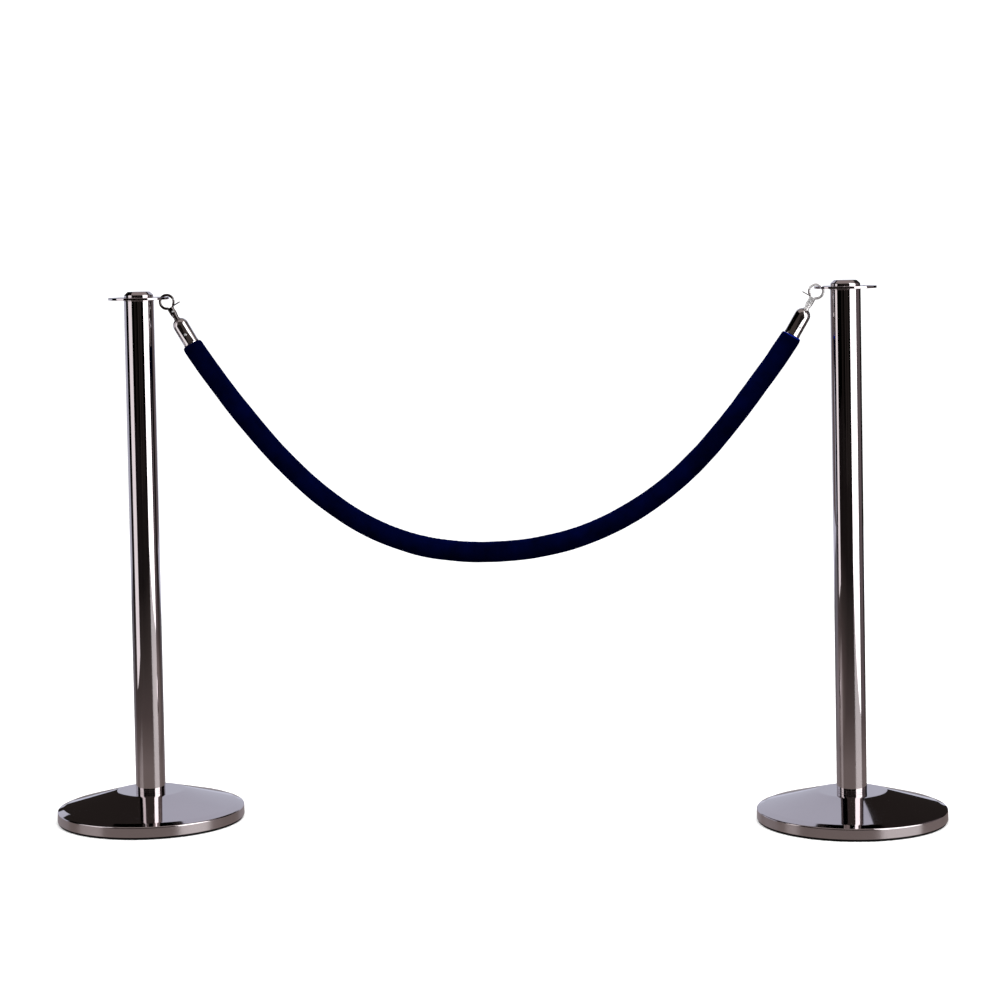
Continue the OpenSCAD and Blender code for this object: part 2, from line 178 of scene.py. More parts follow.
def lathe(name, outline, material, place, segments=128, sharp=35):
    """A closed outline in millimetres turned about the local z axis; place is where it stands."""
    count = len(outline)
    vertices, faces = [], []
    for s in range(segments):
        a = 2 * math.pi * s / segments
        for r, z in outline:
            r = max(r, 0)
            vertices.append((r * math.cos(a) * MM, r * math.sin(a) * MM, z * MM))
    for s in range(segments):
        t = (s + 1) % segments
        for k in range(count):
            n = (k + 1) % count
            flat_r = outline[k][0] < 1e-6 and outline[n][0] < 1e-6
            if not flat_r:
                faces.append((s * count + k, s * count + n, t * count + n, t * count + k))
    return finish_mesh(name, vertices, faces, material, sharp, place)


def sweep(name, line, radius, material, sides=16):
    """A round rod along a line of points, with flat closed ends."""
    line = [Vector(p) for p in line]
    vertices, faces = [], []
    side = None
    for i, at in enumerate(line):
        ahead = (line[min(i + 1, len(line) - 1)] - line[max(i - 1, 0)]).normalized()
        if side is None:
            side = ahead.orthogonal().normalized()
        side = (side - ahead * side.dot(ahead)).normalized()
        other = ahead.cross(side)
        for k in range(sides):
            a = 2 * math.pi * k / sides
            vertices.append(at + radius * (math.cos(a) * side + math.sin(a) * other))
    for i in range(len(line) - 1):
        for k in range(sides):
            n = (k + 1) % sides
            faces.append((i * sides + k, i * sides + n, (i + 1) * sides + n, (i + 1) * sides + k))
    faces.append(tuple(range(sides)))
    faces.append(tuple((len(line) - 1) * sides + k for k in range(sides)))
    return finish_mesh(name, vertices, faces, material, 50)


# ---- materials ----

class Nodes:
    """A node material with one Principled shader, and short ways to add to it."""

    def __init__(self, name, **values):
        self.material = bpy.data.materials.new(name)
        self.material.use_nodes = True
        self.tree = self.material.node_tree
        self.shader = self.tree.nodes["Principled BSDF"]
        self.position = self.add("ShaderNodeTexCoord").outputs["Object"]
        for key, value in values.items():
            self.shader.inputs[key.replace("_", " ")].default_value = value

    def add(self, kind, **inputs):
        node = self.tree.nodes.new(kind)
        for key, value in inputs.items():
            node.inputs[key.replace("_", " ")].default_value = value
        return node

    def link(self, source, target):
        self.tree.links.new(source, target)

    def noise(self, scale, detail=3.0, stretch=(1, 1, 1), roughness=0.5):
        mapping = self.add("ShaderNodeMapping", Scale=stretch)
        self.link(self.position, mapping.inputs["Vector"])
        texture = self.add("ShaderNodeTexNoise", Scale=scale, Detail=detail, Roughness=roughness)
        self.link(mapping.outputs["Vector"], texture.inputs["Vector"])
        return texture.outputs["Fac"]

    def ramp(self, factor, stops):
        """A colour ramp with stops of (place, colour or grey)."""
        node = self.tree.nodes.new("ShaderNodeValToRGB")
        self.link(factor, node.inputs["Fac"])
        while len(node.color_ramp.elements) < len(stops):
            node.color_ramp.elements.new(1.0)
        for element, (place, colour) in zip(node.color_ramp.elements, stops):
            element.position = place
            grey = isinstance(colour, (int, float))
            element.color = (colour,) * 3 + (1,) if grey else tuple(colour) + (1,)
        return node.outputs["Color"]

    def mix(self, kind, a, b, factor=1.0):
        """Two colours mixed; factor is a number or a socket."""
        node = self.tree.nodes.new("ShaderNodeMix")
        node.data_type = "RGBA"
        node.blend_type = kind
        if isinstance(factor, float):
            node.inputs["Factor"].default_value = factor
        else:
            self.link(factor, node.inputs["Factor"])
        self.link(a, node.inputs["A"])
        self.link(b, node.inputs["B"])
        return node.outputs["Result"]

    def fade(self, value, start, end, low=0.0, high=1.0):
        """A value that goes from low to high while the given one goes from start to end."""
        node = self.add("ShaderNodeMapRange", From_Min=start, From_Max=end, To_Min=low, To_Max=high)
        self.link(value, node.inputs["Value"])
        return node.outputs["Result"]

    def vector_math(self, kind, source, other=None):
        """A vector operation on the source and, for most kinds, a constant second vector."""
        node = self.tree.nodes.new("ShaderNodeVectorMath")
        node.operation = kind
        self.link(source, node.inputs[0])
        if other is not None:
            node.inputs[1].default_value = other
        return node.outputs["Vector" if kind == "ABSOLUTE" else "Value"]

    def bump(self, height, strength, distance, normal=None):
        node = self.add("ShaderNodeBump", Strength=strength, Distance=distance)
        self.link(height, node.inputs["Height"])
        if normal is not None:
            self.link(normal, node.inputs["Normal"])
        return node.outputs["Normal"]

    def set(self, socket, source):
        self.link(source, self.shader.inputs[socket])


def polished_steel(name, tint, rough, scratch_stretch, brushed_below=None):
    """Mirror-polished stainless steel: faint clouds in tint and gloss, and fine polishing scratches.
    Below the height brushed_below it is only brushed, as the wall of the base is."""
    n = Nodes(name, Metallic=1.0)
    n.set("Base Color", n.ramp(n.noise(9, 4), [(0.3, [c * 0.95 for c in tint]), (0.7, tint)]))
    scratches = n.noise(900, 2, scratch_stretch)
    smears = n.ramp(n.noise(22, 6), [(0.35, rough), (0.75, rough * 2.2)])
    lines = n.ramp(scratches, [(0.45, 0.0), (0.8, rough * 1.5)])
    gloss = n.mix("ADD", smears, lines)
    if brushed_below is not None:
        split = n.add("ShaderNodeSeparateXYZ")
        n.link(n.position, split.inputs["Vector"])
        wall = n.fade(split.outputs["Z"], brushed_below - 0.5 * MM, brushed_below, 1.0, 0.0)
        brushed = n.ramp(n.noise(60, 5, (1, 1, 12)), [(0.3, 0.1), (0.75, 0.2)])
        gloss = n.mix("MIX", gloss, brushed, wall)
    n.set("Roughness", gloss)
    n.set("Normal", n.bump(scratches, 0.06, 0.02 * MM))
    return n.material


def chrome(name, tint, rough=0.05, metallic=1.0):
    """Bright plated zinc or steel with faint waves from casting and polishing."""
    n = Nodes(name, Metallic=metallic)
    n.set("Base Color", n.ramp(n.noise(60, 4), [(0.3, [c * 0.92 for c in tint]), (0.7, tint)]))
    n.set("Roughness", n.ramp(n.noise(180, 5), [(0.35, rough), (0.8, rough * 2.6)]))
    n.set("Normal", n.bump(n.noise(350, 2), 0.12, 0.05 * MM))
    return n.material


def plain_steel(name):
    """Zinc-plated screws, nuts and washers."""
    n = Nodes(name, Metallic=0.7)
    n.set("Base Color", n.ramp(n.noise(120, 5), [(0.3, (0.6, 0.6, 0.6)), (0.7, (0.78, 0.8, 0.82))]))
    n.set("Roughness", n.ramp(n.noise(400, 4), [(0.3, 0.22), (0.8, 0.42)]))
    n.set("Normal", n.bump(n.noise(900, 3), 0.2, 0.04 * MM))
    return n.material


def cast_iron(name):
    """Rough black-painted casting with rust freckles."""
    n = Nodes(name, Metallic=0.0, Specular_IOR_Level=0.4)
    paint, rust = (0.02, 0.02, 0.021), (0.09, 0.045, 0.03)
    n.set("Base Color", n.ramp(n.noise(45, 8, roughness=0.7), [(0.55, paint), (0.72, rust)]))
    n.set("Roughness", n.ramp(n.noise(90, 4), [(0.3, 0.55), (0.8, 0.85)]))
    n.set("Normal", n.bump(n.noise(420, 5), 0.6, 0.5 * MM))
    return n.material


def black_rubber(name):
    """Dull moulded rubber with dust in its grain."""
    n = Nodes(name, Metallic=0.0, Specular_IOR_Level=0.1)
    black, dusty = (0.0015, 0.0015, 0.002), (0.006, 0.006, 0.006)
    n.set("Base Color", n.ramp(n.noise(60, 6), [(0.4, black), (0.8, dusty)]))
    n.set("Roughness", n.ramp(n.noise(200, 4), [(0.3, 0.45), (0.8, 0.7)]))
    n.set("Normal", n.bump(n.noise(1500, 3), 0.3, 0.05 * MM))
    return n.material


def velvet(name):
    """Navy velvet: a short dense pile with crushed patches, and a blue sheen where it turns away."""
    n = Nodes(name, Metallic=0.0, Specular_IOR_Level=0.0, Sheen_Weight=0.12, Sheen_Roughness=0.35,
              Sheen_Tint=(0.004, 0.02, 0.6, 1))
    patches = n.ramp(n.noise(28, 5, roughness=0.6),
                     [(0.35, (0.0002, 0.0006, 0.008)), (0.7, (0.0003, 0.0012, 0.02))])
    pile = n.ramp(n.noise(2600, 2), [(0.3, 0.55), (0.75, 1.0)])
    # painted highlight: the right mouth's last millimetre is coloured brighter blue, for the light it catches
    # there
    heading = Vector(ROPE_LINE[-1] - ROPE_LINE[-5]).normalized()
    mouth = heading.dot(Vector(ROPE_LINE[-1]))
    painted_glint_mask = n.fade(n.vector_math("DOT_PRODUCT", n.position, heading), mouth - 1.6 * MM, mouth - 0.4 * MM)
    edge = n.ramp(painted_glint_mask, [(0.0, (0.0, 0.0, 0.0)), (1.0, (0.002, 0.01, 0.2))])
    n.set("Base Color", n.mix("ADD", n.mix("MULTIPLY", patches, pile), edge))
    n.set("Roughness", n.ramp(n.noise(300, 4), [(0.3, 0.75), (0.8, 0.95)]))
    crush = n.bump(n.noise(160, 4), 0.35, 0.4 * MM)
    n.set("Normal", n.bump(n.noise(2600, 2), 0.5, 0.12 * MM, crush))
    return n.material


def rope_stuffing(name):
    """Twisted cotton waste."""
    n = Nodes(name, Metallic=0.0)
    n.set("Base Color", n.ramp(n.noise(300, 6), [(0.3, (0.55, 0.52, 0.45)), (0.7, (0.78, 0.75, 0.68))]))
    n.set("Roughness", n.ramp(n.noise(500, 3), [(0.3, 0.85), (0.8, 1.0)]))
    n.set("Normal", n.bump(n.noise(700, 5), 0.8, 0.6 * MM))
    return n.material


# ---- the rope ----

def rope_frame(i):
    """Point, heading, and the two directions across the rope at step i of its line."""
    last = len(ROPE_LINE) - 1
    ahead = Vector(ROPE_LINE[min(i + 1, last)] - ROPE_LINE[max(i - 1, 0)]).normalized()
    back = Vector((0, 1, 0))
    return Vector(ROPE_LINE[i]), ahead, back, back.cross(ahead)


def make_rope_sleeve(material):
    """The velvet tube: soft lumps, cross wrinkles on the inside of the bend, a seam, tucked mouths."""
    sides = 96
    tuck_r, mouth_r, shoulder_r = 11.9 * MM, 13.6 * MM, 16.7 * MM
    lining_end_r, lining_r = tuck_r - 0.8 * MM, 15.7 * MM
    # (distance from the mouth, radius): how the cloth turns over from the cup to its full width
    fold = [(0.05, tuck_r), (0.05, mouth_r), (0.25, 14.9 * MM), (0.9, 15.9 * MM), (2.0, 16.6 * MM)]
    steps = len(ROPE_LINE)
    curvature = bend_of_line()
    vertices = []

    def ring(i, radius, offset=0.0, detail=1.0):
        at, ahead, back, across = rope_frame(i)
        for k in range(sides):
            a = 2 * math.pi * k / sides
            out = math.cos(a) * back + math.sin(a) * across
            r = radius + detail * sleeve_relief(i * ROPE_STEP, a, out, curvature[i])
            vertices.append(at + ahead * offset + out * r)

    def ease(i, reach):
        """0 at both mouths, nearly 1 a few reaches away from them."""
        return 1 - math.exp(-min(i, steps - 1 - i) * ROPE_STEP / reach)

    for distance, radius in fold:
        ring(0, radius, distance * MM, 0.15)
    for i in range(2, steps - 2):
        full = ease(i, 4.5 * MM)
        ring(i, shoulder_r + (ROPE_R - shoulder_r) * full, 0.0, 0.2 + 0.8 * full)
    for distance, radius in reversed(fold):
        ring(steps - 1, radius, -distance * MM, 0.15)
    outer = len(vertices) // sides
    inner_steps = list(range(steps - 1, -1, -8))
    if inner_steps[-1] != 0:
        inner_steps.append(0)
    for i in inner_steps:
        ring(i, lining_end_r + (lining_r - lining_end_r) * ease(i, 5 * MM), 0, 0)
    rings = outer + len(inner_steps)
    faces = []
    for i in range(rings):
        j = (i + 1) % rings
        for k in range(sides):
            n = (k + 1) % sides
            faces.append((i * sides + k, i * sides + n, j * sides + n, j * sides + k))
    piece = finish_mesh("rope_sleeve_velvet", vertices, faces, material, 180)
    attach(piece, "rope")
    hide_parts("rope_sleeve")
    return piece


def bend_of_line():
    """Bend of the rope's line at each step, smoothed, positive where it bends upwards."""
    heading = np.arctan2(np.gradient(ROPE_LINE[:, 2]), np.gradient(ROPE_LINE[:, 0]))
    bend = np.gradient(heading) / ROPE_STEP
    reach = 12
    return np.convolve(np.pad(bend, reach, "edge"), smoothing_kernel(reach), "valid")


def sleeve_relief(run, angle, out, bend):
    """How far the cloth stands off its plain round shape at one point, in metres."""
    lumps = noise.noise(Vector((run * 16, math.cos(angle) * 0.7, math.sin(angle) * 0.7)))
    folds = noise.noise(Vector((run * 45, math.cos(angle) * 1.6 + 7, math.sin(angle) * 1.6)))
    inside = max(0.0, out.z) * max(0.0, bend)
    phase = run / (11 * MM) + 1.3 * noise.noise(Vector((run * 25, math.sin(angle) * 1.2, 3.1)))
    wrinkle = math.sin(2 * math.pi * phase) * min(1.0, inside / 2.5)
    wrinkle *= 0.5 + 0.5 * noise.noise(Vector((run * 30, math.sin(angle), 9.4)))
    seam_angle = math.radians(215)
    from_seam = math.remainder(angle - seam_angle, 2 * math.pi) * ROPE_R
    seam = -0.45 * math.exp(-(from_seam / (0.9 * MM)) ** 2)
    stitch = 0.12 * math.sin(2 * math.pi * run / (3.2 * MM)) * math.exp(-(from_seam / (1.8 * MM)) ** 2)
    return (0.55 * lumps + 0.25 * folds + 0.28 * wrinkle + seam + stitch) * MM


def declare_rope():
    """Lists the rope's core and the stud washers and nuts; nothing is done with the list."""
    plain = ["rope_core"]
    plain += [f"{node}_{side}" for side, _ in SIDES for node in ("stud_washer", "stud_nut")]


# ---- the posts ----

STUD_BORE = 4.05


def post_place(sign):
    return Matrix.Translation((sign * POST_X, 0, 0))


def add_piece(piece, body, slot, *nodes):
    """What the piece rides on and the CAD nodes it stands for, which are hidden; the slot argument is not
    used. All that isn't on the posts is part of the rope."""
    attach(piece, body)
    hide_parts(*nodes)


def round_size(node):
    """Outer radius, bottom and top of a round node, in millimetres."""
    low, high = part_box(node)
    return (high.x - low.x) / 2 / MM, low.z / MM, high.z / MM


def make_base_cover(side, sign, material):
    """Spun cover: flat zone, cone that falls away a little faster near its edge, rim wall."""
    node = f"base_cover_{side}"
    r, foot, top = round_size(node)
    hole, disc, sheet = 6.5, 58, 1.2
    outline = rounded([
        (hole, top), (disc, top, 30), (r - 12, 25.6, 28), (r, 20.8, 2.6), (r, foot, 0.5),
        (r - sheet, foot), (r - sheet, 20.2), (r - 12.3, 24.2), (disc, top - sheet), (hole, top - sheet),
    ], steps=10, guard=0.6)
    piece = lathe(f"base_cover_{side}_spun", outline, material, post_place(sign), 256)
    add_piece(piece, "posts", "polished_steel", node)


def make_tube(side, sign, material):
    node = f"post_tube_{side}"
    r, z0, z1 = round_size(node)
    corner, wall = 0.35, 1.2
    outline = rounded([(r, z0, corner), (r, z1, corner), (r - wall, z1), (r - wall, z0)], guard=0.5)
    piece = lathe(f"post_tube_{side}_polished", outline, material, post_place(sign), 192)
    add_piece(piece, "posts", "polished_steel", node)


def make_plugs(side, sign, material):
    """The threaded plugs. Only their flanges show: a thin ring above the base, a lip under the plate."""
    tube_r, tube_foot, tube_head = round_size(f"post_tube_{side}")
    inside = tube_r - 1.3

    node, bore = f"foot_plug_{side}", 6.05
    flange = tube_r - 0.1
    _, z0, z1 = round_size(node)
    outline = rounded([(bore, z0), (flange, z0, 0.3), (flange, tube_foot, 0.3), (inside, tube_foot),
                       (inside, z1, 0.5), (bore, z1)], guard=0.1)
    piece = lathe(f"{node}_turned", outline, material, post_place(sign), 192)
    add_piece(piece, "posts", "polished_steel", node)

    node, bore = f"head_plug_{side}", STUD_BORE
    flange, z0, z1 = round_size(node)
    outline = rounded([(bore, z0), (inside, z0, 0.5), (inside, tube_head), (flange, tube_head, 0.5),
                       (flange, z1, 0.5), (bore, z1)], guard=0.1)
    piece = lathe(f"{node}_turned", outline, material, post_place(sign), 192)
    add_piece(piece, "posts", "plain_steel", node)


def make_cap(side, sign, material):
    """Low cap with a bevelled edge and a blind hole for its stud."""
    node = f"top_cap_{side}"
    r, z0, z1 = round_size(node)
    flat, bevel, depth = 18.6, 5.6, 6
    outline = rounded([(STUD_BORE, z0), (r, z0, 0.4), (r, z1 - bevel, 2.5), (flat, z1, 2.2), (0, z1),
                       (0, z0 + depth), (STUD_BORE, z0 + depth)], guard=0.3)
    piece = lathe(f"top_cap_{side}_turned", outline, material, post_place(sign), 160)
    add_piece(piece, "posts", "polished_steel", node)


def add_circle(curve, x, y, radius, points=8):
    """A circle as a closed Bezier spline."""
    spline = curve.splines.new("BEZIER")
    spline.bezier_points.add(points - 1)
    spline.use_cyclic_u = True
    spline.resolution_u = 16
    grip = radius * 4 / 3 * math.tan(math.pi / (2 * points))
    for k, point in enumerate(spline.bezier_points):
        a = 2 * math.pi * k / points
        spoke = Vector((math.cos(a), math.sin(a), 0))
        along = Vector((-math.sin(a), math.cos(a), 0))
        point.co = Vector((x, y, 0)) + spoke * radius
        point.handle_left = point.co - along * grip
        point.handle_right = point.co + along * grip


def make_ring_plate(side, sign, material):
    """Round plate with eased edges, four rope holes and a hole for the cap's stud."""
    node = f"ring_plate_{side}"
    low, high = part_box(node)
    r = (high.x - low.x) / 2
    thick = high.z - low.z
    edge = 0.7 * MM
    hole_r, stud_hole_r, circle_r = 8 * MM, 4.25 * MM, 37 * MM
    curve = bpy.data.curves.new(node, "CURVE")
    curve.dimensions = "2D"
    curve.fill_mode = "BOTH"
    curve.bevel_depth = edge
    curve.bevel_resolution = 4
    curve.extrude = thick / 2 - edge
    curve.offset = -edge
    add_circle(curve, 0, 0, r)
    add_circle(curve, 0, 0, stud_hole_r)
    for a in np.arange(4) * math.pi / 2:
        add_circle(curve, circle_r * math.cos(a), circle_r * math.sin(a), hole_r)
    source = bpy.data.objects.new(node + "_curve", curve)
    bpy.context.scene.collection.objects.link(source)
    bpy.context.view_layer.update()
    depsgraph = bpy.context.evaluated_depsgraph_get()
    mesh = bpy.data.meshes.new_from_object(source.evaluated_get(depsgraph))
    bpy.data.objects.remove(source)
    mesh.name = f"ring_plate_{side}_eased"
    work = bmesh.new()
    work.from_mesh(mesh)
    bmesh.ops.remove_doubles(work, verts=work.verts, dist=1e-6)
    bmesh.ops.recalc_face_normals(work, faces=work.faces)
    for face in work.faces:
        face.smooth = abs(face.normal.z) < 0.999
    work.to_mesh(mesh)
    work.free()
    mesh.materials.clear()
    mesh.materials.append(material)
    mesh.transform(Matrix.Translation((sign * POST_X, 0, (low.z + high.z) / 2)))
    piece = bpy.data.objects.new(mesh.name, mesh)
    bpy.context.scene.collection.objects.link(piece)
    add_piece(piece, "posts", "polished_steel", node)


def make_foot_ring(side, sign, material):
    """Rubber ring with a rounded foot and a shallow groove."""
    node = f"foot_ring_{side}"
    r, _, z1 = round_size(node)
    bore, groove, slope = 120, (137, 143), 1
    outline = rounded([(r, 0, 1.2), (r, z1, 0.3), (bore, z1), (bore, 0, 1.2), (groove[0], 0, 0.6),
                       (groove[0] + slope, 1, 0.6), (groove[1] - slope, 1, 0.6), (groove[1], 0, 0.6)],
                      steps=5, guard=0.2)
    piece = lathe(f"foot_ring_{side}_moulded", outline, material, post_place(sign), 192)
    add_piece(piece, "posts", "black_rubber", node)


# ---- rope ends and hooks, in millimetres in the hook's own axes ----

GATE_PIVOT = Vector((1, 0, 20))


def hook_places():
    """For each side, the matrix from the hook's own axes to the frame: z from the centre of the eye along
    the hook, x to the gate, y to the front. The right one is the left one's mirror image."""
    eye_to_swivel = 26.5 * MM
    joints = {j["name"]: j for j in frame["joints"]}
    places = {}
    for side, sign in SIDES:
        swivel = joints[f"swivel_{side}"]
        along = Vector(swivel["axis"]).normalized()
        gateward = Vector((-sign * abs(along.z), 0, abs(along.x)))
        origin = Vector(swivel["pos_m"]) - along * eye_to_swivel
        turn = Matrix((gateward, Vector((0, -1, 0)), along)).transposed()
        places[side] = Matrix.Translation(origin) @ turn.to_4x4()
    return places


def make_rope_end(side, material):
    """Domed cup with a small bead round its mouth."""
    node = f"rope_end_{side}"
    r, bore, top, ceiling, mouth = 13.25, 12.05, 34.9, 37.7, 83.6
    hole, flat = 2.6, 5.2
    dome_z = top + math.sqrt(r ** 2 - flat ** 2)
    ceiling_z = ceiling + math.sqrt(bore ** 2 - flat ** 2)
    start = math.acos(flat / r)
    outline = [(hole, top), (flat - 0.2, top)]
    outline += [(r * math.cos(a), dome_z + r * math.sin(a)) for a in np.linspace(-start, 0, 33)]
    outline += [(r, dome_z + 1), (r, mouth - 3.2), (r + 0.28, mouth - 2.5), (r + 0.35, mouth - 1.6),
                (r + 0.3, mouth - 0.7), (r + 0.05, mouth - 0.1), (r - 0.3, mouth), (bore + 0.2, mouth),
                (bore, mouth - 0.2), (bore, ceiling_z)]
    outline += [(bore * math.cos(a), ceiling_z + bore * math.sin(a)) for a in np.linspace(0, -start, 17)][1:]
    outline += [(hole, ceiling)]
    piece = lathe(f"rope_end_{side}_chromed", outline, material, PLACES[side])
    add_piece(piece, "rope", "chromed_zinc", node)


def make_side_screw(side, material):
    """Pan head with a cross recess, and its shank into the stuffing."""
    node = f"rope_end_screw_{side}"
    turn = {"left": 4, "right": -26}[side]
    from_eye, from_axis = 65.5 * MM, 12.95 * MM
    sectors, rings, head_r, height, shank_r, seat_z = 64, 14, 2.2, 0.95, 1.25, -0.02
    recess_half, recess_reach, recess_depth = 0.28, 1.25, 0.5
    vertices, faces = [], []
    for i in range(rings + 1):
        r = head_r * i / rings
        for k in range(sectors):
            a = 2 * math.pi * k / sectors
            x, y = r * math.cos(a), r * math.sin(a)
            dome = height * math.sqrt(max(0.0, 1 - (r / head_r) ** 2.6))
            cross = min(abs(x), abs(y)) < recess_half and max(abs(x), abs(y)) < recess_reach
            vertices.append((x, y, dome - (recess_depth if cross else 0)))
    shank = [(head_r, seat_z), (shank_r, seat_z), (shank_r, -6.4), (0.0, -7.2)]
    for r, z in shank:
        for k in range(sectors):
            a = 2 * math.pi * k / sectors
            vertices.append((r * math.cos(a), r * math.sin(a), z))
    for i in range(rings + len(shank)):
        for k in range(sectors):
            n = (k + 1) % sectors
            faces.append((i * sectors + k, i * sectors + n, (i + 1) * sectors + n, (i + 1) * sectors + k))
    vertices = [(x * MM, y * MM, z * MM) for x, y, z in vertices]
    outward = Matrix.Rotation(math.radians(-turn), 4, "Z") @ Matrix.Rotation(math.radians(-90), 4, "X")
    seat = Matrix.Translation((0, 0, from_eye)) @ outward @ Matrix.Translation((0, 0, from_axis))
    piece = finish_mesh(f"rope_end_screw_{side}_pan", vertices, faces, material, 40, PLACES[side] @ seat)
    add_piece(piece, "rope", "plain_steel", node)


def make_swivel_stud(side, material):
    """Stud with a peened tip, a shank in the hook's bore, a waisted collar and a threaded tail."""
    node = f"swivel_stud_{side}"
    tip_r, shank_r, collar_r, waist_r, tail_r = 3.1, 2, 5, 4.1, 2.5
    outline = rounded([
        (0, 23), (tip_r, 23, 0.3), (tip_r, 24.1, 0.2), (shank_r, 24.1), (shank_r, 26.9),
        (collar_r, 26.9, 0.6), (collar_r, 29.6, 0.5), (waist_r, 30.4, 0.4), (waist_r, 31.8, 0.4),
        (collar_r, 32.6, 0.5), (collar_r, 34.9, 0.2), (tail_r, 34.9), (tail_r, 44, 0.4), (0, 44),
    ], steps=6, guard=0.05)
    piece = lathe(f"swivel_stud_{side}_turned", outline, material, PLACES[side], 96)
    add_piece(piece, "rope", "chromed_zinc", node)


def make_gate_pin(side, material):
    """Rivet with domed heads, across the hook at the gate's pivot."""
    node = f"gate_pin_{side}"
    outline = rounded([(0, -5.45), (1.3, -5.42, 0.6), (2.1, -4.8, 0.15), (1.5, -4.8), (1.5, 4.8),
                       (2.1, 4.8, 0.15), (1.3, 5.42, 0.6), (0, 5.45)], steps=6, guard=0.05)
    place = PLACES[side] @ Matrix.Translation(GATE_PIVOT * MM) @ Matrix.Rotation(math.pi / 2, 4, "X")
    piece = lathe(f"gate_pin_{side}_riveted", outline, material, place, 64)
    add_piece(piece, f"hook_{side}", "chromed_zinc", node)


def make_gate_spring(side, material):
    """Torsion spring: a leg on the body, a coil round the pin and a leg on the gate."""
    node = f"gate_spring_{side}"
    turns, r, y0, y1, wire_r, steps = 2.5, 2.1, 0.75, 2.25, 0.3, 60
    points = [(-r, 0.7, -5.5), (-r, 0.72, -2.5)]
    for i in range(steps + 1):
        a = math.pi + 2 * math.pi * turns * i / steps
        points.append((r * math.cos(a), y0 + (y1 - y0) * i / steps, -r * math.sin(a)))
    points += [(2.25, 2.27, -2.5), (2.4, 2.28, -6)]
    line = [PLACES[side] @ ((GATE_PIVOT + Vector(p)) * MM) for p in points]
    piece = sweep(f"gate_spring_{side}_wire", line, wire_r * MM, material)
    add_piece(piece, f"hook_{side}", "plain_steel", node)


def soften(node, name, body, material, voxel, passes):
    """A cast copy of a CAD node: the same shape with its edges and inside corners eased."""
    mesh = frame["nodes"][node].data.copy()
    mesh.name = name
    piece = bpy.data.objects.new(name, mesh)
    bpy.context.scene.collection.objects.link(piece)
    work = bmesh.new()
    work.from_mesh(mesh)
    bmesh.ops.remove_doubles(work, verts=work.verts, dist=1e-6)
    work.to_mesh(mesh)
    work.free()
    remesh = piece.modifiers.new("cast", "REMESH")
    remesh.mode = "VOXEL"
    remesh.voxel_size = voxel * MM
    smooth = piece.modifiers.new("ease", "SMOOTH")
    smooth.factor = 0.5
    smooth.iterations = passes
    bpy.context.view_layer.update()
    depsgraph = bpy.context.evaluated_depsgraph_get()
    final = bpy.data.meshes.new_from_object(piece.evaluated_get(depsgraph))
    piece.modifiers.clear()
    piece.data = final
    final.name = name
    final.materials.clear()
    final.materials.append(material)
    final.polygons.foreach_set("use_smooth", [True] * len(final.polygons))
    add_piece(piece, body, "chromed_zinc", node)


# ---- stage: floor, cards that the metal reflects, lights ----

def stage_sheet(name, corners, material, hidden_from):
    """A flat four-cornered sheet of the stage that some kinds of ray don't see."""
    mesh = bpy.data.meshes.new(name)
    mesh.from_pydata(corners, [], [(0, 1, 2, 3)])
    mesh.materials.append(material)
    sheet = bpy.data.objects.new(name, mesh)
    for ray in hidden_from:
        setattr(sheet, f"visible_{ray}", False)
    bpy.context.scene.collection.objects.link(sheet)


def level(x0, x1, y0, y1, z=0.0):
    """The corners of a level sheet."""
    return [(x0, y0, z), (x1, y0, z), (x1, y1, z), (x0, y1, z)]


def upright(a, b, z0, z1):
    """The corners of a sheet standing on the line from a to b, each (x, y)."""
    return [(*a, z0), (*b, z0), (*b, z1), (*a, z1)]


def glowing(name, colour, strength=1.0):
    """An even light of one colour."""
    material = bpy.data.materials.new(name)
    material.use_nodes = True
    tree = material.node_tree
    tree.nodes.clear()
    glow = tree.nodes.new("ShaderNodeEmission")
    glow.inputs["Color"].default_value = (*colour, 1)
    glow.inputs["Strength"].default_value = strength
    out = tree.nodes.new("ShaderNodeOutputMaterial")
    tree.links.new(glow.outputs["Emission"], out.inputs["Surface"])
    return material


def make_floor():
    n = Nodes("floor", Metallic=0.0, Roughness=0.9, Specular_IOR_Level=0.0, Base_Color=(0.92, 0.92, 0.92, 1))
    stage_sheet("floor", level(-30, 30, -30, 30), n.material, ("glossy", "diffuse"))


def make_dark_floor():
    """The studio floor as the metal sees it: slightly glossy, and glowing with painted light that is warm
    grey round the posts and darker far off.
    """
    reach = 3.0
    n = Nodes("dark_floor", Metallic=0.0, Roughness=0.36, Specular_IOR_Level=0.8,
              Base_Color=(0.01, 0.01, 0.01, 1), Emission_Strength=1.0)
    # both halves of the floor are alike, so the distance is the one from the right post
    mirrored = n.vector_math("ABSOLUTE", n.position)
    from_post = n.fade(n.vector_math("DISTANCE", mirrored, (POST_X, 0, 0)), 0.0, reach)
    # painted light: the glow is warm grey round the posts and fades with distance from them, for the light
    # falling on the floor there
    near, far = (0.2, 0.165, 0.155), (0.008, 0.006, 0.006)
    stops = [(0.0, near), (0.16, (0.18, 0.148, 0.142)), (0.23, (0.13, 0.105, 0.1)),
             (0.33, (0.08, 0.062, 0.06)), (0.58, (0.04, 0.032, 0.03)), (1.0, far)]
    n.set("Emission Color", n.ramp(from_post, stops))
    stage_sheet("dark_floor", level(-7, 7, -8, 3), n.material, ("camera", "diffuse", "shadow"))


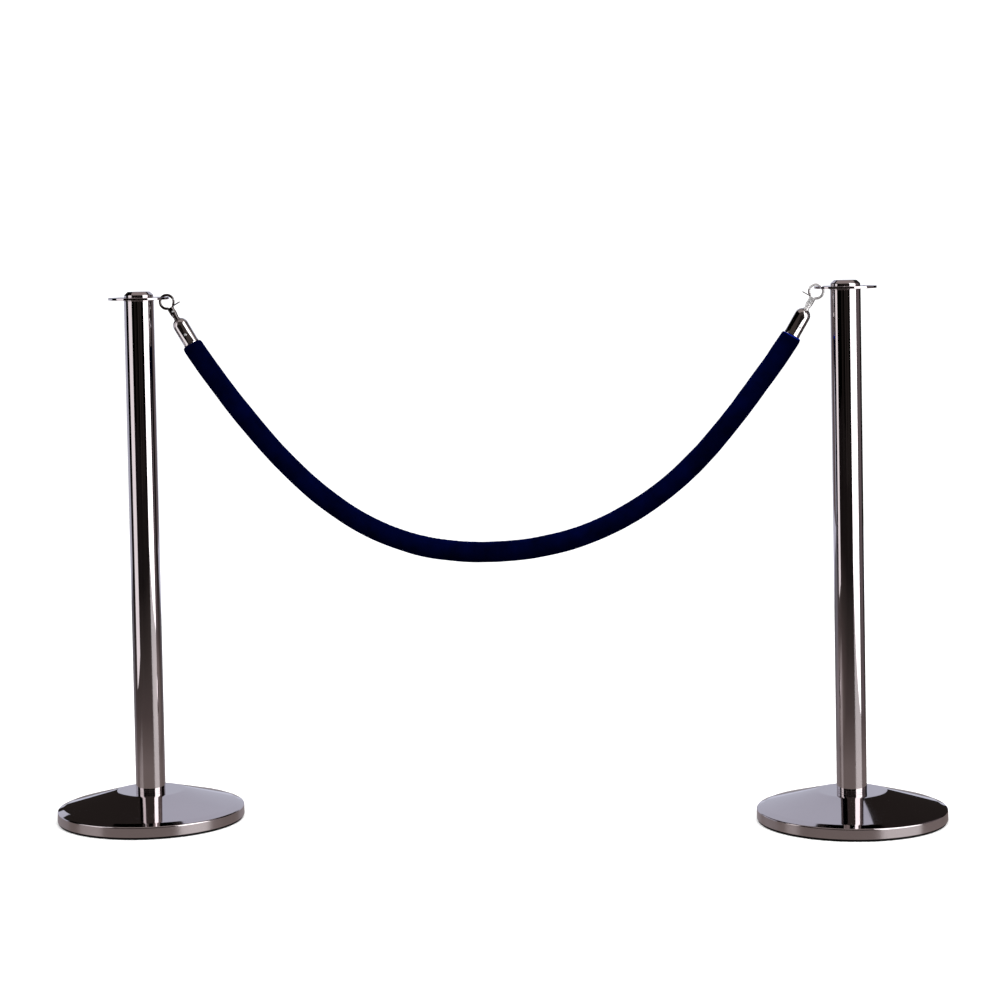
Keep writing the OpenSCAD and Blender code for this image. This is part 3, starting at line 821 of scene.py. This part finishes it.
def make_cards():
    """What the mirror-like steel reflects: pale and dark cards behind, white panels at both sides, a dark
    room in front, and a brownish ceiling. Each is (name, corners, colour, strength)."""
    pale, white = (0.525, 0.54, 0.64), (1.0, 0.99, 1.0)
    pinkish, brown = (1.0, 0.95, 0.97), (0.14, 0.115, 0.12)
    black_brown, warm_grey = (0.02, 0.016, 0.015), (0.34, 0.29, 0.28)
    for name, corners, colour, strength in (
        ("backdrop", upright((-1.26, 2.4), (0.97, 2.4), 0.0, 3.3), pale, 1.0),
        ("backdrop_low", upright((-1.38, 2.4), (-1.26, 2.4), 0.0, 0.75), pale, 1.0),
        ("backdrop_foot", upright((-1.97, 2.4), (1.64, 2.39), 0.0, 0.2), pale, 1.2),
        ("backdrop_left", upright((-4.0, 1.0), (-1.86, 2.4), 0.0, 1.1), pale, 1.1),
        ("curtain", upright((-2.6, 2.45), (2.6, 2.45), 0.0, 3.6), black_brown, 1.0),
        ("panel_right", upright((2.27, -2.77), (1.555, -0.151), 0.0, 4.2), white, 2.6),
        ("panel_left", upright((-1.463, -0.834), (-1.33, -0.169), 0.1, 1.5), pinkish, 1.15),
        ("wall_right", upright((1.56, -0.1), (1.5, 0.6), 0.0, 2.6), brown, 1.0),
        ("between_posts", upright((-0.2, 0.25), (-0.2, 1.0), 0.4, 1.0), brown, 1.0),
        ("room_a", upright((-3.3, -5.6), (-2.1, -5.6), 0.0, 1.8), black_brown, 0.75),
        ("room_b", upright((-1.75, -5.6), (-1.4, -5.6), 0.0, 1.8), black_brown, 0.75),
        ("room_c", upright((-0.5, -5.6), (0.45, -5.6), 0.0, 1.8), black_brown, 1.2),
        ("room_d", upright((0.75, -5.6), (2.5, -5.6), 0.0, 1.8), black_brown, 1.0),
        ("room_top", upright((-6.0, -5.7), (6.0, -5.7), 1.8, 8.0), black_brown, 2.8),
        ("ceiling", level(-2.6, 6, -2.2, 2.2, 4.3), warm_grey, 1.0),
    ):
        stage_sheet(name, corners, glowing(name, colour, strength), ("camera", "diffuse", "shadow"))


def add_light(name, at, aim, size, power, colour):
    """A square area light that the metal doesn't reflect."""
    data = bpy.data.lights.new(name, "AREA")
    data.size = size
    data.energy = power
    data.color = colour
    light = bpy.data.objects.new(name, data)
    light.location = at
    light.rotation_mode = "QUATERNION"
    light.rotation_quaternion = (Vector(aim) - Vector(at)).to_track_quat("-Z", "Y")
    light.visible_glossy = False
    light.visible_camera = False
    bpy.context.scene.collection.objects.link(light)


def make_lights():
    add_light("key_light", (2.2, -2.6, 2.6), (0, 0, 0.5), 1.6, 70, (1, 0.99, 0.98))
    add_light("fill_light", (-2.6, -2.4, 2.2), (0, 0, 0.5), 1.8, 20, (0.98, 0.99, 1))
    add_light("top_light", (0, 0.2, 3.4), (0, 0, 0), 3.2, 60, (1, 1, 1))


def make_world():
    """A white surround, dim from below, that the metal doesn't reflect."""
    world = bpy.data.worlds.new("studio")
    world.use_nodes = True
    tree = world.node_tree
    heading = tree.nodes.new("ShaderNodeTexCoord")
    split = tree.nodes.new("ShaderNodeSeparateXYZ")
    tree.links.new(heading.outputs["Generated"], split.inputs["Vector"])
    above = tree.nodes.new("ShaderNodeMapRange")
    for key, value in {"From Min": -0.2, "From Max": -0.1, "To Min": 0.12, "To Max": 1.25}.items():
        above.inputs[key].default_value = value
    tree.links.new(split.outputs["Z"], above.inputs["Value"])
    tree.links.new(above.outputs["Result"], tree.nodes["Background"].inputs["Strength"])
    tree.nodes["Background"].inputs["Color"].default_value = (1, 1, 1, 1)
    world.cycles_visibility.glossy = False
    bpy.context.scene.world = world
    bpy.context.scene.view_settings.view_transform = "Standard"


# ---- the build ----

PLACES = hook_places()

make_camera()
sleeve = make_rope_sleeve(velvet("velvet"))

steel_tube = polished_steel("tube_steel", STEEL_TINT, 0.025, (1, 1, 0.02))
steel_spun = polished_steel("spun_steel", STEEL_TINT, 0.03, (1, 1, 6), brushed_below=20 * MM)
bright = chrome("bright_chrome", CHROME_TINT)
# painted light and shade: the two hooks are alike, but the left hook's chrome is tinted dark as painted shade
# and the right hook's chrome is paled and made partly diffuse as painted light; the left gate and both swivel
# studs take these copies too
lit_and_shaded_chrome = {"left": chrome("painted_shade_hook_chrome", (0.2, 0.18, 0.175), 0.08),
               "right": chrome("painted_light_hook_chrome", (0.97, 0.95, 0.95), 0.08, 0.62)}
gate_chrome_shaded_left = {"left": lit_and_shaded_chrome["left"], "right": bright}
zinc_plated = plain_steel("zinc_plated")
rubber = black_rubber("rubber")
iron = cast_iron("iron")
cotton = rope_stuffing("cotton")

for side, sign in SIDES:
    make_base_cover(side, sign, steel_spun)
    make_tube(side, sign, steel_tube)
    make_plugs(side, sign, steel_spun)
    make_cap(side, sign, steel_spun)
    make_ring_plate(side, sign, steel_spun)
    make_foot_ring(side, sign, rubber)
    make_rope_end(side, bright)
    make_side_screw(side, zinc_plated)
    make_swivel_stud(side, lit_and_shaded_chrome[side])
    make_gate_pin(side, zinc_plated)
    make_gate_spring(side, zinc_plated)
    soften(f"hook_body_{side}", f"hook_body_{side}_cast", f"hook_{side}", lit_and_shaded_chrome[side], 0.28, 6)
    soften(f"hook_gate_{side}", f"hook_gate_{side}_cast", f"gate_{side}", gate_chrome_shaded_left[side], 0.24, 5)

declare_rope()

# the CAD nodes that have no piece of their own are hidden inside the others
carried_over = {"base_weight": iron, "base_bolt": zinc_plated, "base_washer": zinc_plated,
                "cap_stud": zinc_plated, "stud_washer": zinc_plated, "stud_nut": zinc_plated,
                "rope_core": cotton}
for name, node in frame["nodes"].items():
    if not node.hide_render:
        kind = name.removesuffix("_left").removesuffix("_right")
        for slot in node.material_slots:
            slot.material = carried_over[kind]

make_floor()
make_dark_floor()
make_cards()
make_lights()
make_world()
